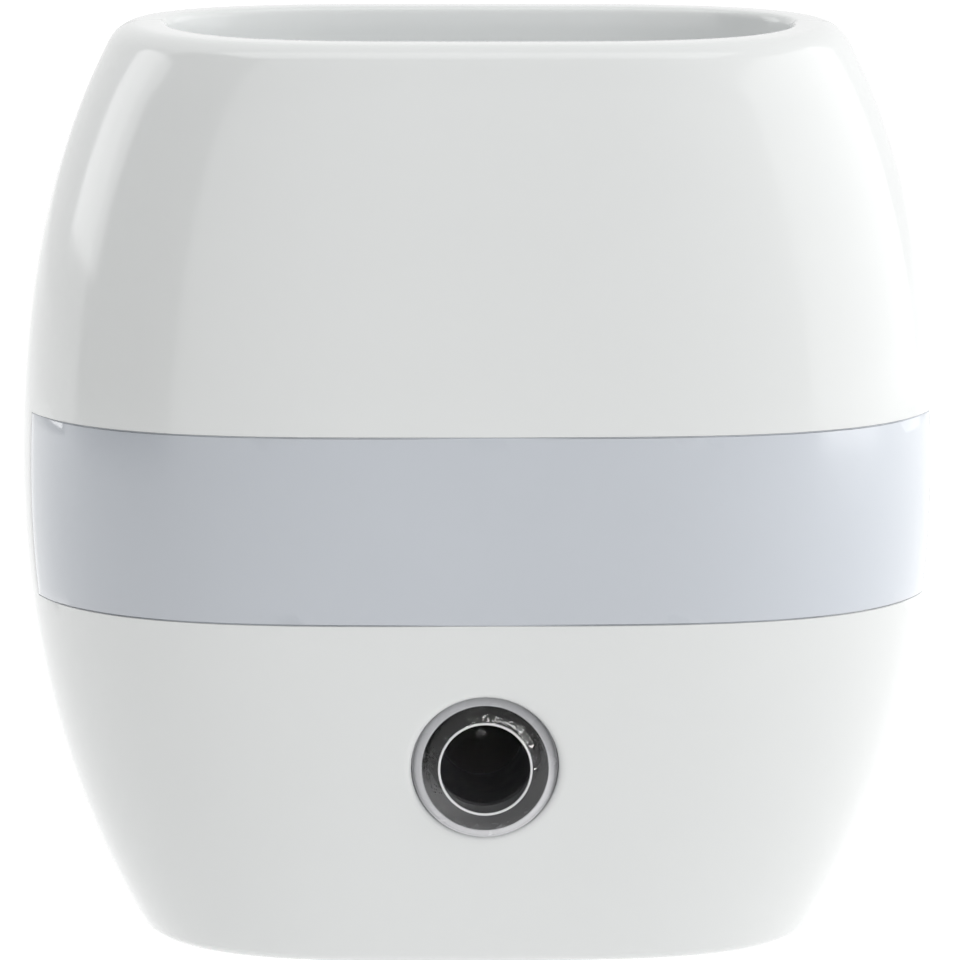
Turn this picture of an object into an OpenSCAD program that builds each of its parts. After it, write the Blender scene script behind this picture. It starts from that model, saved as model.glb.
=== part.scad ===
/* [Body] */
// Width of the body at its widest level
body_w = 65; // [62:0.5:70]
// Width of the body at the level of the rim
top_w = 50.5; // [48:0.1:54]
// Width of the body at its foot
foot_w = 48; // [46:0.1:52]
// Height of the foot, measured from the plug's axis
foot_z = -32.1; // [-35:0.1:-31.5]
// Height of the widest level, measured from the plug's axis
waist_z = 1.1; // [-1:0.1:3]
// Height of the rim, measured from the plug's axis
top_z = 32.7; // [32:0.1:36]
// Depth of the front shell at the widest level
front_depth = 19.5; // [18.5:0.1:22]
// Depth of the front shell at the rim
top_depth = 15.1; // [14.5:0.1:17]
// Depth of the front shell at the foot
foot_depth = 12.8; // [11.5:0.1:14]
// Depth of the rear shell
rear_depth = 11.8; // [11.5:0.1:14]
// Depth that the rear's curve would reach at the widest level if the back were not flat
rear_swell = 14.8; // [14.5:0.1:17]
// Wall thickness of both shells
wall = 2.2; // [1.8:0.1:2.5]
// Radius round the foot
foot_round = 0.9; // [0.8:0.1:1.6]
// Half width of the bend where the flat back meets the sides
back_round = 0.8; // [0.4:0.1:1.2]

/* [Rim and tray] */
// Width of the rim round the open top
rim_w = 3.3; // [3:0.1:3.8]
// Height of the solid rim
rim_h = 4; // [3.5:0.1:5]
// Outer radius of the rim
rim_round = 1.3; // [1:0.1:1.8]
// Radius of the rim's inner edge
rim_edge = 0.5; // [0.3:0.1:0.8]
// Lean of the rim in degrees, with its rear side higher
rim_lean = 3.4; // [0:0.1:5]
// Height of the opal tray under the rim
tray_h = 6.5; // [5:0.1:7]
// Wall and floor thickness of the opal tray
tray_wall = 1.6; // [1.2:0.1:2]
// Play round the tray
tray_play = 0.2; // [0.1:0.05:0.3]

/* [Light band] */
// Height of the band's slot
band_h = 12.9; // [11:0.1:14]
// Height of the slot's middle, measured from the plug's axis
band_z = -0.5; // [-2:0.1:1]
// Angle from the seam, round the plan, at which the slot ends
band_end = 20.5; // [18:0.5:30]
// Gap between the band and its slot
band_gap = 0.15; // [0.1:0.05:0.3]
// Thickness of the band's flange
flange_t = 1.2; // [0.8:0.1:1.5]
// Width by which the flange laps the slot
flange_lap = 1.5; // [1:0.1:2]

/* [Sensor] */
// Height of the sensor window, measured from the plug's axis
sensor_z = -17.1; // [-18.5:0.1:-16.5]
// Diameter of the sensor bore in the front shell
sensor_bore = 10.1; // [9.5:0.1:10.6]
// Play round the lens in its bore
lens_play = 0.15; // [0.05:0.05:0.2]
// Diameter of the lens's flat face
lens_face_d = 6.3; // [5.5:0.1:7]
// Length of the lens's rounded shoulder
lens_shoulder = 1.3; // [0.8:0.1:1.8]
// Length of the lens
lens_len = 4.6; // [4:0.1:5]
// Distance by which the lens stands proud of the skin at its middle
lens_proud = 0.2; // [0:0.1:0.6]
// Bore of the black baffle tube
baffle_bore = 7.1; // [6.6:0.1:7.6]
// Wall thickness of the baffle tube
baffle_wall = 0.8; // [0.6:0.1:1.2]
// Depth from the lens to the partition in the tube
baffle_depth = 7.5; // [6:0.1:8]
// Thickness of that partition
partition_t = 1; // [0.8:0.1:1.5]
// Diameter of the light-sensitive transistor
eye_d = 3; // [3:0.1:4]
// Length of the light-sensitive transistor
eye_len = 4.5; // [4:0.1:5]

/* [Light chamber] */
// Wall thickness of the light chamber
chamber_wall = 1.2; // [0.8:0.1:1.5]
// Distance from the seam to the chamber's back
chamber_back = 5; // [4.6:0.1:6]
// Gap between the chamber and the band
chamber_gap = 0.3; // [0.2:0.05:0.4]
// Height by which the chamber is taller than the slot
chamber_over = 1.6; // [1:0.1:2]
// Thickness of the LED board
led_board_t = 1; // [0.8:0.1:1.6]
// Gap between the LED board and the chamber's ends
led_board_gap = 4; // [3:0.1:5]
// Height of the LED board
led_board_h = 9; // [8:0.1:10]
// Number of LEDs behind the band
led_count = 5; // [3:1:7]
// Distance from the LED board's end to the first LED's middle
led_edge = 4; // [3:0.1:5]
// Width of one LED
led_w = 3.5; // [3:0.1:4]
// Height of one LED
led_h = 2.8; // [2.5:0.1:3.5]
// Thickness of one LED
led_t = 0.8; // [0.6:0.1:1.2]
// Diameter of the LEDs under the tray
top_led_d = 3; // [3:0.1:4]
// Length of the LEDs under the tray
top_led_len = 4.5; // [4:0.1:5]
// Distance from the middle to those LEDs
top_led_x = 9; // [7:0.1:11]

/* [Circuit board] */
// Thickness of the main board
board_t = 1.6; // [1:0.1:1.8]
// Distance from the seam to the main board
board_back = 4; // [3.6:0.1:4.2]
// Gap between the main board and the screw pillars beside it
board_side_gap = 0.9; // [0.6:0.1:1.5]
// Gap between the main board and the tray above it
board_top_gap = 1.6; // [1:0.1:2.5]
// Gap between the main board and the floor
board_foot_gap = 3.2; // [2.8:0.1:3.5]
// Gap under a piece that is seated on a board
seat_gap = 0.1; // [0.05:0.05:0.2]
// Diameter of the board posts
post_d = 5; // [4.4:0.1:5.5]
// Distance from the main board's side to a post's middle
post_inset = 3.5; // [3.2:0.1:4]
// Height of the upper board posts, measured from the plug's axis
post_top_z = 16; // [15:0.1:16.5]
// Height of the lower board posts, measured from the plug's axis
post_low_z = -16; // [-17:0.1:-15]
// Diameter of the board screws
board_screw_d = 2; // [1.8:0.1:2.3]
// Diameter of a board screw's head
board_head_d = 3.8; // [3.4:0.1:4]
// Thickness of a board screw's head
board_head_t = 1.3; // [1:0.1:1.6]

/* [Components] */
// Width of the film capacitor
film_w = 13; // [11:0.1:13.5]
// Height of the film capacitor along the board
film_h = 11; // [9:0.1:12]
// Distance that the film capacitor rises from the board
film_t = 6; // [5:0.1:6.5]
// Diameter of the smoothing capacitor
smooth_d = 8; // [6.3:0.1:8.5]
// Length of the smoothing capacitor
smooth_len = 7; // [6:0.1:7.4]
// Diameter of the fuse resistor
fuse_d = 3.5; // [3:0.1:4]
// Length of the fuse resistor
fuse_len = 9; // [8:0.1:9.5]
// Diameter of a bleed resistor
bleed_d = 2.4; // [2:0.1:2.6]
// Length of a bleed resistor
bleed_len = 6.3; // [5.5:0.1:6.5]
// Diameter of the zener diode
zener_d = 2.6; // [1.8:0.1:2.8]
// Length of the zener diode
zener_len = 4.2; // [3.5:0.1:4.5]
// Length of the bridge rectifier
bridge_l = 4.7; // [4.5:0.1:5]
// Width of the bridge rectifier
bridge_w = 3.9; // [3.6:0.1:4]
// Thickness of the bridge rectifier
bridge_t = 2.5; // [1.6:0.1:2.7]
// Length of the control chip
chip_l = 4.9; // [4.5:0.1:5]
// Width of the control chip
chip_w = 3.9; // [3.6:0.1:4]
// Thickness of the control chip
chip_t = 1.5; // [1.2:0.1:1.8]
// Diameter of the drive transistor's round side
drive_d = 4.6; // [4:0.1:5]
// Length of the drive transistor
drive_len = 4.8; // [4:0.1:5]
// Diameter of a lead
lead_d = 0.6; // [0.5:0.1:0.8]
// Distance between neighbouring leads and header pins
lead_pitch = 2.54; // [2:0.01:2.6]
// Distance from the middle to the two capacitors
middle_gap = 2; // [1.5:0.1:2.2]
// Gap between neighbouring components
component_gap = 3; // [2.4:0.1:3]
// Gap between the bleed resistors
bleed_gap = 1; // [0.6:0.1:1.2]
// Distance from an axial component's end to its bent lead
lead_reach = 1; // [0.8:0.1:1.2]
// Distance that a package's legs stand out
leg_reach = 0.8; // [0.6:0.1:0.9]
// Width of a package's leg
leg_w = 0.4; // [0.3:0.05:0.5]
// Length of a package's leg, with the part inside the package
leg_len = 1; // [0.9:0.05:1.2]
// Width by which an LED's flange stands out
led_flange = 0.4; // [0.3:0.1:0.6]
// Distance from the main board's side to the header's middle
header_inset = 4; // [3.6:0.1:4.4]
// Length of the header's plastic base
header_l = 5; // [4.8:0.1:5.2]
// Width of the header's plastic base
header_w = 2.5; // [2.3:0.1:2.8]
// Thickness of the header's plastic base
header_t = 2.5; // [2:0.1:3]
// Gap round the header in the chamber and the sheet
header_gap = 0.5; // [0.4:0.05:0.7]

/* [Screws] */
// Diameter of the housing screws' pillars
pillar_d = 6.4; // [6:0.1:6.6]
// Distance from the body's widest side to a pillar's middle
pillar_inset = 8.4; // [8.2:0.1:9]
// Height of the upper pillars, measured from the plug's axis
pillar_top_z = 13; // [12.5:0.1:14]
// Height of the lower pillars, measured from the plug's axis
pillar_low_z = -14; // [-15:0.1:-13.5]
// Diameter of the housing screws
screw_d = 2.5; // [2.2:0.1:2.9]
// Play round a housing screw in the rear shell
screw_play = 0.3; // [0.2:0.05:0.4]
// Diameter of a housing screw's head
screw_head_d = 4.2; // [3.8:0.1:4.4]
// Thickness of a housing screw's head
screw_head_t = 1.6; // [1.2:0.1:2]
// Depth of the bore that sinks the head into the back
screw_sink = 5; // [3:0.1:6]
// Length of thread in the front pillars
thread_len = 6; // [5:0.1:7]

/* [Plug] */
// Length of the plug body behind the rear shell
plug_len = 18.2; // [17.6:0.1:20]
// Width of the plug body
plug_w = 35.3; // [34.8:0.1:36]
// Height of the plug body
plug_h = 13.7; // [13.2:0.1:14]
// Width of the plug body's flat top
plug_flat_w = 26; // [24.5:0.1:27]
// Radius of the plug body's corners
plug_corner = 1.5; // [1:0.1:2]
// Wall thickness of the plug body
plug_wall = 1.8; // [1.5:0.1:2.2]
// Thickness of the face that holds the pins
plug_face = 4; // [3.5:0.1:5]
// Play between the plug body and the rear shell
plug_play = 0.15; // [0.1:0.05:0.3]
// Lap of the plug body's flange inside the rear shell
plug_lap = 2; // [1.5:0.1:2.4]
// Thickness of that flange
plug_flange_t = 1.5; // [1.2:0.1:2]
// Distance between the pins
pin_pitch = 19; // [18:0.1:19.2]
// Diameter of a pin's bare end
pin_d = 4; // [3.9:0.1:4.2]
// Length of a pin outside the plug body
pin_len = 19; // [18:0.1:19.5]
// Length of a pin inside the plug body's hollow
pin_root = 2.5; // [2:0.1:3]
// Radius of the pin's tip
pin_tip_r = 1.2; // [0.8:0.1:1.6]
// Play round a pin's root
pin_play = 0.05; // [0.03:0.01:0.1]
// Length of the insulating sleeve outside the plug body
sleeve_len = 10; // [9:0.1:11]
// Length of the insulating sleeve inside the plug's face
sleeve_in = 1.5; // [1:0.1:2]
// Outer diameter of the insulating sleeve
sleeve_d = 3.6; // [3.5:0.05:3.65]
// Wall thickness of the insulating sleeve
sleeve_wall = 0.4; // [0.3:0.05:0.6]
// Thickness of a contact spring
spring_t = 0.5; // [0.4:0.05:0.7]
// Width of a contact spring
spring_w = 3.6; // [3:0.1:4]
// Length of the foot with which the spring presses on a pin
spring_foot = 4.4; // [4:0.1:4.8]

/* [Hidden] */
$fn = 64;

// The origin is the middle of the plug's face: X right, Y towards the socket, Z up.
back_y = -plug_len;
seam_y = back_y - rear_depth;
back_inner_y = back_y - wall;
floor_z = foot_z + wall;
lean_start = top_z - rim_h;
band_low = band_z - band_h / 2;
band_top = band_z + band_h / 2;

// Plan exponents of the body: a full front with soft corners.
plan_p = 3.73;
plan_q = 2.04;
// Share of the square term in the side's swelling curve, above and below the widest level.
swell_top = 0.757;
swell_foot = 0.876;

// Share of the full drop that the side has made at a height, from the widest level on.
function drop_at(z) =
    let (up = z > waist_z,
        t = up ? (z - waist_z) / (top_z - waist_z) : (waist_z - z) / (waist_z - foot_z),
        s = up ? swell_top : swell_foot)
    s * t ^ 2 + (1 - s) * t ^ 4;
function half_w(z) =
    body_w / 2 - drop_at(z) * (body_w - (z > waist_z ? top_w : foot_w)) / 2;
function front_at(z) =
    front_depth - drop_at(z) * (front_depth - (z > waist_z ? top_depth : foot_depth));
function rear_at(z) = rear_swell * half_w(z) / (body_w / 2);

// A row is [height, inset from the outer skin, level whose plan it takes].
function skin_row(z, inset) = [z, inset, z];
function well_row(z, inset) = [z, inset, top_z];
function lean(y, z) =
    tan(rim_lean) * (y - seam_y) * max(0, (z - lean_start) / (top_z - lean_start));
function plan_x(half, angle) = half * sign(cos(angle)) * abs(cos(angle)) ^ (2 / plan_p);
function plan_y(depth, angle) = depth * abs(sin(angle)) ^ (2 / plan_q);
// Eases a depth into the flat back, over back_round on either side of it.
function flatten(y, flat) =
    y < flat - back_round ? y
    : y > flat + back_round ? flat
    : y - (y - flat + back_round) ^ 2 / (4 * back_round);
function front_point(row, angle) =
    let (y = seam_y - plan_y(front_at(row[2]) - row[1], angle))
    [plan_x(half_w(row[2]) - row[1], angle), y, row[0] + lean(y, row[0])];
function rear_point(row, angle) =
    let (y = seam_y + flatten(plan_y(rear_at(row[2]) - row[1], angle), rear_depth - row[1]))
    [plan_x(half_w(row[2]) - row[1], angle), y, row[0] + lean(y, row[0])];
// Half width of the rear shell's hollow at a height, at a depth behind the seam.
function hollow_w(z, depth) =
    (half_w(z) - wall) * (1 - (depth / (rear_at(z) - wall)) ^ plan_q) ^ (1 / plan_p);

// Values between two ends in equal steps, without the last one.
function levels(low, high, steps) =
    [for (i = [0 : steps - 1]) low + (high - low) * i / steps];
function reversed(list) = [for (i = [len(list) - 1 : -1 : 0]) list[i]];
function flat_list(lists) = [for (l = lists) for (x = l) x];

// Rows of a half shell, in the order that a line takes from the foot up the outer skin,
// over the rim and down the inner skin to the floor.
arc_steps = 5;
band_rows = 3;
low_rows = 8;
low_inner_rows = 6;
inner_corner = 1;
foot_rows = [for (a = levels(0, 90, arc_steps))
    skin_row(foot_z + foot_round * (1 - cos(a)), foot_round * (1 - sin(a)))];
outer_rows = [for (z = concat(
        levels(foot_z + foot_round, band_low, low_rows),
        levels(band_low, band_top, band_rows),
        levels(band_top, top_z - rim_round, 7)))
    skin_row(z, 0)];
rim_rows = concat(
    [for (a = concat(levels(0, 90, arc_steps), [90]))
        skin_row(top_z - rim_round * (1 - sin(a)), rim_round * (1 - cos(a)))],
    [for (a = [0, 45, 90])
        well_row(top_z - rim_edge * (1 - cos(a)), rim_w - rim_edge * (1 - sin(a)))],
    [well_row(lean_start, rim_w), skin_row(lean_start, wall)]);
inner_rows = reversed(concat(
    [skin_row(floor_z, wall + inner_corner),
        skin_row(floor_z + inner_corner * 0.3, wall + inner_corner * 0.3)],
    [for (z = concat(
            levels(floor_z + inner_corner, band_low, low_inner_rows),
            levels(band_low, band_top, band_rows),
            levels(band_top, lean_start, 5)))
        skin_row(z, wall)]));
shell_rows = concat(foot_rows, outer_rows, rim_rows, inner_rows);
// Indexes of the rows at the slot's two edges, on the outer and on the inner skin.
slot_low = arc_steps + low_rows;
slot_top = slot_low + band_rows;
slot_inner_low = len(shell_rows) - 3 - low_inner_rows;
slot_inner_top = slot_inner_low - band_rows;

// Angles of the columns, from the right end of the seam round to its left end.
end_steps = 4;
slot_steps = 36;
front_angles = concat(levels(0, band_end, end_steps),
    levels(band_end, 180 - band_end, slot_steps),
    levels(180 - band_end, 180, end_steps), [180]);
rear_angles = concat(levels(0, 180, 36), [180]);

// The two faces of one grid cell, whose corners run a, b, c, d.
function cell(a, b, c, d) = [[a, b, c], [a, c, d]];

// Half of the housing, closed at the seam. With slot, columns first to last are open
// between the slot's rows, through both skins.
module half_shell(grid, slot, first, last) {
    rows = len(grid);
    columns = len(grid[0]);
    outer_pole = rows * columns;
    inner_pole = outer_pole + 1;
    function id(j, i) = j * columns + i;
    function in_slot(j, i) = slot && i >= first && i < last
        && ((j >= slot_low && j < slot_top) || (j >= slot_inner_top && j < slot_inner_low));
    skins = flat_list([for (j = [0 : rows - 2]) for (i = [0 : columns - 2])
        if (!in_slot(j, i)) cell(id(j, i), id(j, i + 1), id(j + 1, i + 1), id(j + 1, i))]);
    poles = [for (i = [0 : columns - 2]) each [
        [outer_pole, id(0, i + 1), id(0, i)],
        [inner_pole, id(rows - 1, i), id(rows - 1, i + 1)]]];
    ends = [concat([outer_pole], [for (j = [0 : rows - 1]) id(j, 0)], [inner_pole]),
        concat([inner_pole], [for (j = [rows - 1 : -1 : 0]) id(j, columns - 1)], [outer_pole])];
    sills = !slot ? [] : flat_list([for (i = [first : last - 1]) concat(
        cell(id(slot_low, i), id(slot_low, i + 1),
            id(slot_inner_low, i + 1), id(slot_inner_low, i)),
        cell(id(slot_inner_top, i), id(slot_inner_top, i + 1),
            id(slot_top, i + 1), id(slot_top, i)))]);
    jambs = !slot ? [] : flat_list([for (k = [0 : band_rows - 1]) concat(
        cell(id(slot_low + k, first), id(slot_inner_low - k, first),
            id(slot_inner_low - k - 1, first), id(slot_low + k + 1, first)),
        cell(id(slot_low + k, last), id(slot_low + k + 1, last),
            id(slot_inner_low - k - 1, last), id(slot_inner_low - k, last)))]);
    points = concat(flat_list(grid), [[0, seam_y, foot_z], [0, seam_y, floor_z]]);
    faces = concat(skins, poles, ends, sills, jambs);
    polyhedron(points, faces, convexity = 8);
}

// A cylinder that runs towards the socket from a point.
module rod(x, y, z, d, len) {
    translate([x, y, z]) rotate([-90, 0, 0]) cylinder(d = d, h = len);
}
// A block whose front face is at y, with its middle at x and z.
module block(x, y, z, size) {
    translate([x - size[0] / 2, y, z - size[2] / 2]) cube(size);
}
// Its 2D children, drawn as X and Z, become a plate from y for a thickness.
module plate(y, t) {
    translate([0, y + t, 0]) rotate([90, 0, 0]) linear_extrude(t) children();
}
// Its 2D children, drawn as X and Y, become a slab from z for a height.
module slab(z, h) {
    translate([0, 0, z]) linear_extrude(h) children();
}
// A turned piece along Y at x and z: its outline gives a radius and a distance from y.
module turned(x, y, z, outline) {
    translate([x, y, z]) rotate([-90, 0, 0]) rotate_extrude() polygon(outline);
}

pillar_x = body_w / 2 - pillar_inset;
board_half_w = pillar_x - pillar_d / 2 - board_side_gap;
post_x = board_half_w - post_inset;
pillar_spots = [for (z = [pillar_low_z, pillar_top_z]) for (s = [-1, 1]) [s * pillar_x, z]];
post_spots = [for (z = [post_low_z, post_top_z]) for (s = [-1, 1]) [s * post_x, z]];

// The front shell's points, with both skins moved inwards by an amount.
function front_grid(deeper) = [for (row = shell_rows) [for (a = front_angles)
    front_point([row[0], row[1] + deeper, row[2]], a)]];

// The resize holds each shell at the body's full width, with its bores already cut.
module front_shell() {
    $fn = 32;
    color("white") resize([body_w, 0, 0]) difference() {
        union() {
            half_shell(front_grid(0), true, end_steps, end_steps + slot_steps);
            intersection() {
                for (p = pillar_spots)
                    rod(p[0], seam_y - front_depth, p[1], pillar_d, front_depth);
                hull() half_shell(front_grid(wall / 2), false, 0, 0);
            }
        }
        rod(0, seam_y - front_depth, sensor_z, sensor_bore, front_depth - chamber_back);
        for (p = pillar_spots)
            rod(p[0], seam_y - thread_len - 1, p[1], screw_d, thread_len + 2);
    }
}

// The rear shell's points, with both skins moved inwards by an amount.
function rear_grid(deeper) = [for (row = shell_rows) [for (a = reversed(rear_angles))
    rear_point([row[0], row[1] + deeper, row[2]], a)]];

module rear_shell() {
    $fn = 32;
    color("white") resize([body_w, 0, 0]) difference() {
        union() {
            half_shell(rear_grid(0), false, 0, 0);
            intersection() {
                for (p = pillar_spots)
                    rod(p[0], seam_y, p[1], pillar_d, rear_depth);
                hull() half_shell(rear_grid(wall / 2), false, 0, 0);
            }
            for (p = post_spots)
                rod(p[0], board_rear_y, p[1], post_d, back_inner_y - board_rear_y + wall / 2);
        }
        for (p = pillar_spots) {
            rod(p[0], seam_y - 1, p[1], screw_d + 2 * screw_play, rear_depth);
            rod(p[0], back_y - screw_sink, p[1], screw_head_d + 2 * screw_play, screw_sink + 1);
        }
        for (p = post_spots)
            rod(p[0], board_rear_y - 1, p[1], board_screw_d, back_inner_y - board_rear_y + 1);
        plate(back_y - wall - 1, wall + 2) plug_outline(plug_play);
    }
}

// The band fills the slot, and its flange lies behind the shell's wall.
module light_band() {
    end_gap = band_gap / (front_depth * cos(band_end)) * 180 / PI;
    angles = [for (i = [0 : slot_steps])
        band_end + end_gap + (180 - 2 * band_end - 2 * end_gap) * i / slot_steps];
    face_z = concat(levels(band_low + band_gap, band_top - band_gap, band_rows),
        [band_top - band_gap]);
    step = wall + band_gap;
    deep = step + flange_t;
    face = [for (z = face_z) skin_row(z, 0)];
    back = [for (z = reversed(face_z)) skin_row(z, deep)];
    rows = concat(face,
        [skin_row(band_top - band_gap, step), skin_row(band_top + flange_lap, step),
            skin_row(band_top + flange_lap, deep)],
        back,
        [skin_row(band_low - flange_lap, deep), skin_row(band_low - flange_lap, step),
            skin_row(band_low + band_gap, step)]);
    n = len(face_z);
    total = len(rows);
    columns = len(angles);
    function id(j, i) = (j % total) * columns + i;
    // Each end is a row of cells between face and back, and the flange's two laps.
    end_cells = concat(
        [for (k = [0 : n - 2]) [k, k + 1, 2 * n + 1 - k, 2 * n + 2 - k]],
        [[n - 1, n, n + 3], [n, n + 1, n + 2, n + 3],
            [0, 2 * n + 2, total - 1], [2 * n + 2, 2 * n + 3, 2 * n + 4, total - 1]]);
    sides = flat_list([for (j = [0 : total - 1]) for (i = [0 : columns - 2])
        cell(id(j, i), id(j, i + 1), id(j + 1, i + 1), id(j + 1, i))]);
    ends = [for (c = end_cells) each [[for (j = c) id(j, 0)],
        [for (j = reversed(c)) id(j, columns - 1)]]];
    color("lightsteelblue", 0.7)
        polyhedron([for (row = rows) for (a = angles) front_point(row, a)],
            concat(sides, ends), convexity = 8);
}

// The plan of the well at an inset from the outer skin, all round.
module well_plan(inset) {
    row = well_row(lean_start, inset);
    polygon(concat(
        [for (a = levels(0, 180, 40)) let (p = front_point(row, a)) [p[0], p[1]]],
        [for (a = levels(180, 0, 40)) let (p = rear_point(row, a)) [p[0], p[1]]]));
}
tray_low_z = lean_start - seat_gap - tray_h;
tray_inset = wall + tray_play;

module top_tray() {
    color("whitesmoke", 0.8) difference() {
        slab(tray_low_z, tray_h) well_plan(tray_inset);
        slab(tray_low_z + tray_wall, tray_h) well_plan(tray_inset + tray_wall);
    }
}

// The light chamber follows the band's back, at the narrowest level that it spans.
chamber_h = band_h + chamber_over;
chamber_low_z = band_z - chamber_h / 2;
chamber_back_y = seam_y - chamber_back;
function tighter(a, b) = half_w(a) < half_w(b) ? a : b;
chamber_level = tighter(chamber_low_z, chamber_low_z + chamber_h);
chamber_inset = wall + band_gap + flange_t + chamber_gap;
module chamber_plan(inset) {
    polygon([for (a = concat(levels(0, 180, 40), [180]))
        let (p = front_point([0, inset, chamber_level], a)) [p[0], p[1]]]);
}
header_x = board_half_w - header_inset;
header_hole = [header_l + 2 * header_gap, header_w + 2 * header_gap];

module light_chamber() {
    color("snow") difference() {
        slab(chamber_low_z, chamber_h) intersection() {
            chamber_plan(chamber_inset);
            translate([-body_w / 2, chamber_back_y - front_depth])
                square([body_w, front_depth]);
        }
        slab(chamber_low_z + chamber_wall, chamber_h - 2 * chamber_wall) intersection() {
            chamber_plan(0);
            translate([-chamber_room, chamber_back_y - chamber_wall - front_depth])
                square([2 * chamber_room, front_depth]);
        }
        block(header_x, chamber_back_y - chamber_wall - 1, band_z,
            [header_hole[0], chamber_wall + 2, header_hole[1]]);
    }
}
// Half length of the chamber's hollow, clear of its curved ends at its back.
chamber_room = (half_w(chamber_level) - chamber_inset)
    * (1 - (chamber_back / (front_at(chamber_level) - chamber_inset)) ^ plan_q) ^ (1 / plan_p)
    - chamber_wall;

led_board_w = 2 * (chamber_room - led_board_gap);
led_board_y = chamber_back_y - chamber_wall - seat_gap - led_board_t;
module led_board() {
    color("white") block(0, led_board_y, band_z, [led_board_w, led_board_t, led_board_h]);
}

// One surface-mounted LED: a white case with a round recess for its yellow filling.
module band_led(x) {
    y = led_board_y - seat_gap - led_t;
    difference() {
        block(x, y, band_z, [led_w, led_t, led_h]);
        rod(x, y - 0.1, band_z, led_h * 0.8, led_t / 4 + 0.1);
    }
}
module band_leds() {
    span = led_board_w - 2 * led_edge;
    color("lightyellow") for (i = [0 : led_count - 1])
        band_led(-span / 2 + span * i / (led_count - 1));
}

// The main board stands behind the seam, on posts of the rear shell.
board_y = seam_y + board_back;
board_rear_y = board_y + board_t + seat_gap;
board_top_z = tray_low_z - board_top_gap;
board_low_z = floor_z + board_foot_gap;
board_foot_half_w = min(board_half_w, hollow_w(board_low_z, board_back + board_t) - board_side_gap);
board_taper = 6;
module main_board() {
    color("darkgreen") plate(board_y, board_t) difference() {
        polygon([[-board_half_w, board_top_z], [board_half_w, board_top_z],
            [board_half_w, board_low_z + board_taper], [board_foot_half_w, board_low_z],
            [-board_foot_half_w, board_low_z], [-board_half_w, board_low_z + board_taper]]);
        for (p = post_spots)
            translate(p) circle(d = board_screw_d + 0.3);
    }
}

// Distance from an LED's middle to each of its two leads.
led_lead_x = 0.9;
// A round-headed LED under the tray, with leads that turn back to the board.
module top_led(x) {
    y = board_y - 2 * seat_gap - top_led_d / 2 - led_flange;
    low = tray_low_z - seat_gap - top_led_len;
    translate([x, y, low]) rotate_extrude() polygon(concat(
        [[0, 0], [top_led_d / 2 + led_flange, 0], [top_led_d / 2 + led_flange, 0.8],
            [top_led_d / 2, 0.8]],
        [for (a = levels(0, 90, 8)) [top_led_d / 2 * cos(a),
            top_led_len - top_led_d / 2 * (1 - sin(a))]],
        [[0, top_led_len]]));
    for (s = [-1, 1])
        translate([x + s * led_lead_x - lead_d / 2, y - lead_d / 2, low - 1.5]) {
            cube([lead_d, lead_d, 1.7]);
            cube([lead_d, board_y - seat_gap / 2 - y + lead_d / 2, lead_d]);
        }
}
module top_leds() {
    color("lightyellow") for (s = [-1, 1]) top_led(s * top_led_x);
}

// The lens stands in the sensor bore: a flat face, a rounded shoulder and a plain side.
lens_y = seam_y - front_at(sensor_z) - lens_proud;
lens_r = sensor_bore / 2 - lens_play;
module sensor_lens() {
    face_r = lens_face_d / 2;
    color("lightgray", 0.5) turned(0, lens_y, sensor_z, concat([[0, 0]],
        [for (a = concat(levels(0, 90, 6), [90]))
            [face_r + (lens_r - face_r) * sin(a), lens_shoulder * (1 - cos(a))]],
        [[lens_r, lens_len], [0, lens_len]]));
}

baffle_y = lens_y + lens_len + seat_gap;
partition_y = baffle_y + baffle_depth;
module sensor_baffle() {
    color("black") difference() {
        rod(0, baffle_y, sensor_z, baffle_bore + 2 * baffle_wall, board_y - seat_gap - baffle_y);
        rod(0, baffle_y - 1, sensor_z, baffle_bore, baffle_depth + 1);
        rod(0, partition_y + partition_t, sensor_z, baffle_bore, board_y - partition_y);
        rod(0, partition_y - 1, sensor_z, eye_d + 0.2, partition_t + 2);
    }
}

// Its dome looks through the partition, and its flange lies behind it.
module phototransistor() {
    flange = partition_t + seat_gap;
    color("lightcyan") {
        turned(0, partition_y, sensor_z, concat([[0, -eye_d / 4]],
            [for (a = concat(levels(0, 90, 6), [90]))
                [eye_d / 2 * sin(a), eye_d / 4 - eye_d / 2 * cos(a)]],
            [[eye_d / 2, flange], [eye_d / 2 + led_flange, flange],
                [eye_d / 2 + led_flange, eye_len], [0, eye_len]]));
        for (s = [-1, 1])
            rod(s * led_lead_x, partition_y + eye_len - 0.5, sensor_z, lead_d,
                board_y - seat_gap - partition_y - eye_len + 0.5);
    }
}

// Places of the components on the main board's front, as X and Z. The two capacitors lie
// beside the middle, and the others lie round them.
film_at = [-middle_gap - film_w / 2, 0];
smooth_at = [middle_gap + smooth_d / 2, 0];
bridge_at = [film_at[0], -film_h / 2 - component_gap - bridge_w / 2 - leg_reach];
fuse_at = [film_at[0], film_h / 2 + component_gap + fuse_d / 2];
zener_at = [0, film_h / 2 + 2 * component_gap + zener_d / 2];
bleed_at = [for (i = [0, 1]) [
    zener_len / 2 + component_gap + bleed_len / 2 + 2 * lead_reach,
    smooth_d / 2 + component_gap + bleed_d / 2 + i * (bleed_d + bleed_gap)]];
drive_at = [smooth_at[0], -smooth_d / 2 - component_gap - drive_d / 2];
chip_at = [header_x, band_z - header_w / 2 - component_gap - chip_w / 2 - leg_reach];

module film_capacitor() {
    color("gold") block(film_at[0], board_y - seat_gap - film_t, film_at[1],
        [film_w, film_t, film_h]);
}

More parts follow.
